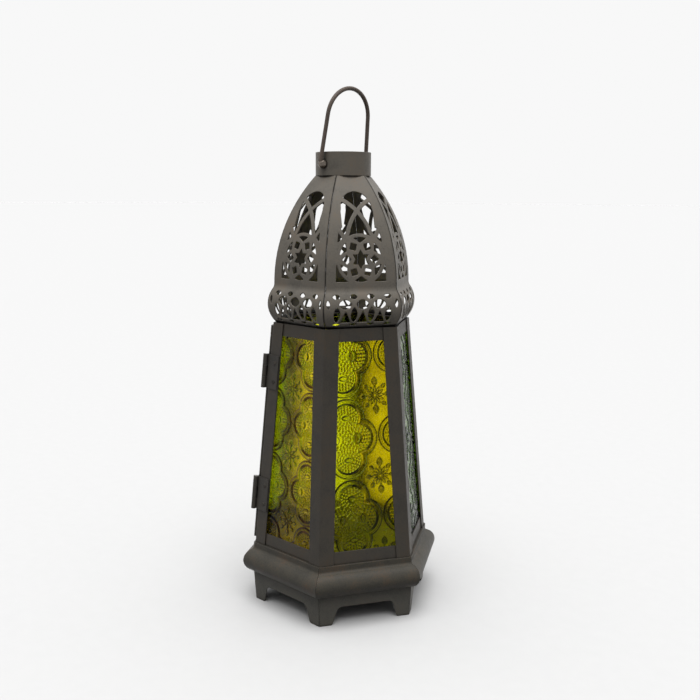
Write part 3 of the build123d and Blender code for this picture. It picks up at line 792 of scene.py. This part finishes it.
def round_bar(x, z, stations, half_width):
    """Distance into a bar along the arc through three points."""
    (x0, z0), (x1, z1), (x2, z2) = stations
    turn = 2 * (x0 * (z1 - z2) + x1 * (z2 - z0) + x2 * (z0 - z1))
    squares = [px * px + pz * pz for px, pz in stations]
    cx = (squares[0] * (z1 - z2) + squares[1] * (z2 - z0) + squares[2] * (z0 - z1)) / turn
    cz = (squares[0] * (x2 - x1) + squares[1] * (x0 - x2) + squares[2] * (x1 - x0)) / turn
    ring = half_width - np.abs(np.hypot(x - cx, z - cz) - math.hypot(x0 - cx, z0 - cz))
    low = min(z0, z2) - half_width
    high = max(z0, z2) + half_width
    return np.minimum(ring, np.minimum(z - low, high - z))


def mirrored(stations, hand):
    """A bar's points on the right half, for hand 1, or on the left half, for hand -1."""
    return [(hand * across, level) for across, level in stations]


def window_depth(x, level):
    """Distance into the window's arch, above the rosette and between its bars."""
    side = petal_profile(level + WAIST)[0] * HALF_SIDE - WINDOW_MARGIN
    upper_side = np.minimum(side, ARCH_RADIUS + SHOULDER_ROOM)
    side = np.where(level > WINDOW_SHOULDER, upper_side, side)
    arch = np.where(
        level < ARCH_SPRING,
        np.minimum(side - np.abs(x), level - WINDOW_SILL),
        ARCH_RADIUS - np.hypot(x, level - ARCH_SPRING),
    )
    solid = ROSETTE_RADIUS - np.hypot(x, level - ROSETTE_LEVEL)
    for hand in (-1, 1):
        for stations in (CROSSED_BAR, SIDE_BAR):
            solid = np.maximum(solid, round_bar(x, level, mirrored(stations, hand), BAR_HALF))
        solid = np.maximum(solid, straight_bar(x, level, mirrored(STRAIGHT_BAR, hand), BAR_HALF))
    return blunt(arch, -solid, WINDOW_ROUNDING)


def rosette_depth(x, level):
    """Distance into the rosette's star, kites and rays."""
    radius = np.hypot(x, level - ROSETTE_LEVEL)
    angle = np.arctan2(level - ROSETTE_LEVEL, x)
    sixth = math.pi / 3
    from_kite = fold(angle, sixth)
    from_tip = fold(angle - math.pi / 2, sixth)
    star = STAR_EDGE - radius * np.cos(sixth - from_tip)
    kite_along = np.abs(radius * np.cos(from_kite) - KITE_MIDDLE)
    kite = KITE_EDGE - (kite_along + radius * np.sin(from_kite)) * math.sqrt(0.5)
    ray_along = radius * np.cos(from_tip) - RAY_POINT
    ray_across = radius * np.sin(from_tip)
    ray_sides = ray_along * RAY_SLOPE[0] - ray_across * RAY_SLOPE[1]
    ray = blunt(RAY_END - radius, ray_sides, RAY_ROUNDING)
    return np.maximum(star, np.maximum(kite, ray))


def rim_depth(x, level):
    """Distance into the rim's rows of openings."""
    from_motif = fold(x + ROW_HALF - ROW_PITCH / 2, ROW_PITCH)
    from_gap = fold(x + ROW_HALF, ROW_PITCH)
    eye = lying_oval(from_motif, level, EYE)
    oval = upright_oval(from_motif, level, OVAL)
    slot = lying_oval(from_motif, level, SLOT)
    motifs = np.maximum(eye, np.maximum(oval, slot))
    leaf_hole = lying_oval(from_gap, level, LEAF_HOLE)
    arrow_sides = (ARROW_TIP - level) * ARROW_SLOPE[0] - from_gap * ARROW_SLOPE[1]
    arrow = blunt(level - ARROW_FOOT, arrow_sides, ARROW_ROUNDING)
    ends = upright_oval(np.abs(x) - ROW_HALF, level, END_HOLE)
    in_row = np.abs(x) < ROW_HALF
    in_gaps = np.abs(x) < ROW_HALF - ROW_PITCH / 2
    depth = np.where(in_row, motifs, -1.0)
    depth = np.where(in_gaps, np.maximum(depth, np.maximum(leaf_hole, arrow)), depth)
    return np.maximum(depth, ends)


# The dome's petals: their meshes

def petal_mesh():
    """Points and faces of the front petal: a pierced sheet cut out of a grid by its openings.

    A point is a share of the petal's half width and a height.
    """
    columns = PETAL_COLUMNS
    rows = PETAL_ROWS
    u, z = np.meshgrid(np.linspace(-1, 1, columns), np.linspace(BODY_TOP, TAB_TOP, rows))
    x = u * (petal_profile(z)[0] - SEAM) * HALF_SIDE
    hole = np.maximum(window_depth(x, z - WAIST), rosette_depth(x, z - WAIST))
    hole = np.maximum(hole, rim_depth(x, z - BODY_TOP))
    below_or_on_tab = np.maximum(COLLAR_BOTTOM - TAB_ROOM - z, TAB_HALF - np.abs(x))
    solid = np.minimum(-hole, below_or_on_tab)
    solid = np.where(np.abs(solid) < LEAST_CUT, LEAST_CUT, solid)
    flat_u = u.ravel()
    flat_z = z.ravel()
    flat_solid = solid.ravel()
    places = []
    lookup = {}
    faces = []

    def corner(key):
        """The point of a grid corner, or of the cut between two corners."""
        if key not in lookup:
            first, second = key
            share = 0.0
            if first != second:
                share = flat_solid[first] / (flat_solid[first] - flat_solid[second])
            lookup[key] = len(places)
            places.append(
                (
                    flat_u[first] + share * (flat_u[second] - flat_u[first]),
                    flat_z[first] + share * (flat_z[second] - flat_z[first]),
                )
            )
        return lookup[key]

    for row in range(rows - 1):
        for column in range(columns - 1):
            base = row * columns + column
            cell = [base, base + 1, base + columns + 1, base + columns]
            keep = [flat_solid[i] > 0 for i in cell]
            if not any(keep):
                continue
            face = []
            for k in range(4):
                following = (k + 1) % 4
                here, after = cell[k], cell[following]
                if keep[k]:
                    face.append(corner((here, here)))
                if keep[k] != keep[following]:
                    face.append(corner((min(here, after), max(here, after))))
            faces.append(face)
    return np.array(places), faces


def add_petals():
    """Six petals from one pattern, each turned to its side."""
    places, sheet_faces = petal_mesh()
    count = len(places)
    share = places[:, 0]
    level = places[:, 1]
    apothem, out, up = petal_profile(level)
    layers = []
    for inset, seam in ((0.0, SEAM), (SHEET, SEAM_BEHIND)):
        depth = apothem - inset * out
        layers.append(np.stack([share * (depth - seam) * HALF_SIDE, -depth, level - inset * up], axis=1))
    points = np.concatenate(layers) * MM
    from_seam = (1.0 - np.abs(share)) * apothem * HALF_SIDE
    from_foot = level - BODY_TOP
    # Painted shade: darker at the seams, for the dark gap between petals, and along the foot, for the
    # shadow line under the rim.
    seam_shade = SEAM_SHADE * step_down(from_seam, SEAM_SHADE_HALF, SEAM_SHADE_EASE)
    foot_shade = step_down(from_foot, FOOT_SHADE_HALF, FOOT_SHADE_EASE)
    shade_mask = np.maximum(seam_shade, foot_shade)
    edges = {(a, b) for face in sheet_faces for a, b in zip(face, face[1:] + face[:1])}
    walls = [[b, a, a + count, b + count] for a, b in sorted(edges) if (b, a) not in edges]
    backs = [[i + count for i in reversed(face)] for face in sheet_faces]
    faces = sheet_faces + backs + walls
    smooth = 2 * len(sheet_faces)
    for turn, side in enumerate(SIDE_NAMES):
        spin = np.array(Matrix.Rotation(math.radians(SIDE_TURN * turn), 3, "Z"))
        name = f"dome_petal_{side}"
        petal = add_piece(
            f"pierced_{name}", points @ spin.T, faces, smooth, dome_paint, "lantern"
        )
        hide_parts(name)
        store_values(petal, "painted_shade", np.concatenate([shade_mask, shade_mask]))


add_petals()


# Domed knobs where the handle's wire enters the collar. Their outline is pairs of a radius about the
# handle's axis and a distance along it from the collar's middle.

PIVOT_Z = 324.4
KNOB_OUTLINE = ((3.3, 20.4), (3.35, 21.0), (3.1, 22.2), (2.5, 23.4), (1.6, 24.5), (0.8, 25.2))
KNOB_TIP = 25.5
KNOB_STEPS = 28


def add_knob(name, hand):
    """A knob turned about the handle's axis on one side of the collar."""
    steps = KNOB_STEPS
    turn = np.linspace(0.0, 2 * math.pi, steps, endpoint=False)
    rings = [
        np.stack([r * np.cos(turn), np.full(steps, hand * y), PIVOT_Z + r * np.sin(turn)], axis=1)
        for r, y in KNOB_OUTLINE
    ]
    points = np.concatenate([*rings, [[0.0, hand * KNOB_TIP, PIVOT_Z]]]) * MM
    tip = len(points) - 1
    faces = []
    for ring in range(len(KNOB_OUTLINE) - 1):
        for k in range(steps):
            a = ring * steps + k
            b = ring * steps + (k + 1) % steps
            faces.append([a, b, b + steps, a + steps])
    last = tip - steps
    faces += [[last + k, last + (k + 1) % steps, tip] for k in range(steps)]
    smooth = len(faces)
    faces.append(list(range(steps))[::-1])
    if hand > 0:
        faces = [face[::-1] for face in faces]
    add_piece(name, points, faces, smooth, knob_metal, "handle")


add_knob("handle_knob_front", -1)
add_knob("handle_knob_back", 1)


# Finishes of the carried-over pieces: the first row with a word that is in the piece's name

FINISHES = (
    (("clips", "pin"), clip_metal),
    (("rivet",), rivet_metal),
    (("hinge_lower", "hinge_upper", "latch_button"), shaded_hinge_paint),
    (("floor_plate", "candle_cup"), plate_paint),
    (("handle",), wire_paint),
    (("collar",), dome_paint),
    (("moulding",), shaded_base_paint),
    (("skirt",), shaded_skirt_paint),
    (("rail", "post", "door_frame"), shaded_frame_paint),
)
REPLACED_WORDS = ("glass", "petal")


def has_word(name, words):
    """Whether a name holds one of the words."""
    return any(word in name for word in words)


for node_name in nodes:
    if has_word(node_name, REPLACED_WORDS):
        continue
    finish = next(material for words, material in FINISHES if has_word(node_name, words))
    mesh = nodes[node_name].data
    mesh.materials.clear()
    mesh.materials.append(finish)


# Floor, light and camera

FLOOR_HALF = 40000.0
FLOOR_PLACES = (0.3, 0.7)
FLOOR_SEEN = (grey(0.555), grey(0.565))
FLOOR_BOUNCE = (grey(0.07), grey(0.09))
FLOOR_ROUGHNESS = 0.9
BACKDROP = grey(0.938)
SKY_WHITE = grey(1.0)
SKY_STEEPNESS = 3.0
SKY_STRENGTH = (0.07, 3.0)

# The photo's view, fitted to points of the object: angles in degrees, the image and lens in pixels
CAMERA_AZIMUTH = 43.51
CAMERA_YAW = 0.479
CAMERA_PITCH = 9.863
CAMERA_ROLL = 0.284
CAMERA_PLACE = (445.3, -469.0, 301.0)
IMAGE_WIDTH = 700.0
FOCAL_LENGTH = 877.0
SENSOR_WIDTH = 36.0
CLIP_NEAR = 10.0
CLIP_FAR = 200000.0


def seen_ray(tree):
    """1 for rays that the camera sees, also by way of gloss or glass, and 0 for bounced light."""
    path = add_node(tree, "ShaderNodeLightPath").outputs
    direct = add_math(tree, "MAXIMUM", path["Is Camera Ray"], path["Is Glossy Ray"])
    return add_math(tree, "MAXIMUM", direct, path["Is Transmission Ray"])


def add_floor():
    """A wide pale floor, which is darker to bounced light."""
    side = FLOOR_HALF * MM
    corners = [(-side, -side, 0), (side, -side, 0), (side, side, 0), (-side, side, 0)]
    mesh = bpy.data.meshes.new("floor")
    mesh.from_pydata(corners, [], [(0, 1, 2, 3)])
    floor = bpy.data.objects.new("floor", mesh)
    scene.collection.objects.link(floor)
    material, tree, shader = new_material("floor_paper")
    fibre = add_noise(tree, object_coords(tree), scale=90.0, detail=3.0, roughness=0.6)
    pale = add_ramp(tree, fibre, FLOOR_PLACES, FLOOR_SEEN)
    dim = add_ramp(tree, fibre, FLOOR_PLACES, FLOOR_BOUNCE)
    tone = add_mix(tree, seen_ray(tree), dim, pale)
    tree.links.new(tone, shader.inputs["Base Color"])
    shader.inputs["Roughness"].default_value = FLOOR_ROUGHNESS
    shader.inputs["Specular IOR Level"].default_value = 0.0
    mesh.materials.append(material)


def add_world():
    """White behind everything that is seen, and light that grows towards the zenith."""
    world = bpy.data.worlds.new("studio")
    world.use_nodes = True
    tree = world.node_tree
    tree.nodes.clear()
    seen = add_node(tree, "ShaderNodeBackground", {"Color": BACKDROP, "Strength": 1.0})
    way = add_node(tree, "ShaderNodeTexCoord").outputs["Generated"]
    height = add_node(tree, "ShaderNodeSeparateXYZ", {"Vector": way}).outputs["Z"]
    steep = add_math(tree, "POWER", height, SKY_STEEPNESS)
    level = add_range(tree, steep, (0.0, 1.0), SKY_STRENGTH)
    light = add_node(tree, "ShaderNodeBackground", {"Color": SKY_WHITE, "Strength": level})
    mixed = add_node(
        tree,
        "ShaderNodeMixShader",
        {0: seen_ray(tree), 1: light.outputs["Background"], 2: seen.outputs["Background"]},
    )
    output = tree.nodes.new("ShaderNodeOutputWorld")
    tree.links.new(mixed.outputs["Shader"], output.inputs["Surface"])
    scene.world = world


def add_sun(name, azimuth, elevation, strength, angle):
    """A wide, soft sun. Angles are in degrees, and azimuth 0 stands at -Y and grows towards +X."""
    lamp = bpy.data.lights.new(name, "SUN")
    lamp.energy = strength
    lamp.angle = math.radians(angle)
    sun = bpy.data.objects.new(name, lamp)
    turn = math.radians(azimuth)
    rise = math.radians(elevation)
    level = math.cos(rise)
    towards = Vector((math.sin(turn) * level, -math.cos(turn) * level, math.sin(rise)))
    sun.rotation_euler = towards.to_track_quat("Z", "Y").to_euler()
    scene.collection.objects.link(sun)


def add_camera():
    """The photo's view."""
    azimuth = math.radians(CAMERA_AZIMUTH)
    yaw = math.radians(CAMERA_YAW)
    pitch = math.radians(CAMERA_PITCH)
    roll = math.radians(CAMERA_ROLL)
    outward = Vector((math.sin(azimuth), -math.cos(azimuth), 0))
    right = Vector((math.cos(azimuth), math.sin(azimuth), 0))
    level = right * math.sin(yaw) - outward * math.cos(yaw)
    side = right * math.cos(yaw) + outward * math.sin(yaw)
    forward = level * math.cos(pitch) - Vector((0, 0, math.sin(pitch)))
    upward = side.cross(forward)
    turn = Matrix((side, upward, -forward)).transposed() @ Matrix.Rotation(roll, 3, "Z")
    lens = bpy.data.cameras.new("camera")
    lens.sensor_width = SENSOR_WIDTH
    lens.lens = SENSOR_WIDTH * FOCAL_LENGTH / IMAGE_WIDTH
    lens.clip_start = CLIP_NEAR * MM
    lens.clip_end = CLIP_FAR * MM
    camera = bpy.data.objects.new("camera", lens)
    camera.matrix_world = Matrix.Translation(Vector(CAMERA_PLACE) * MM) @ turn.to_4x4()
    scene.collection.objects.link(camera)
    scene.camera = camera


add_floor()
add_world()
add_sun("key", azimuth=45.0, elevation=72.0, strength=1.45, angle=50.0)
add_camera()
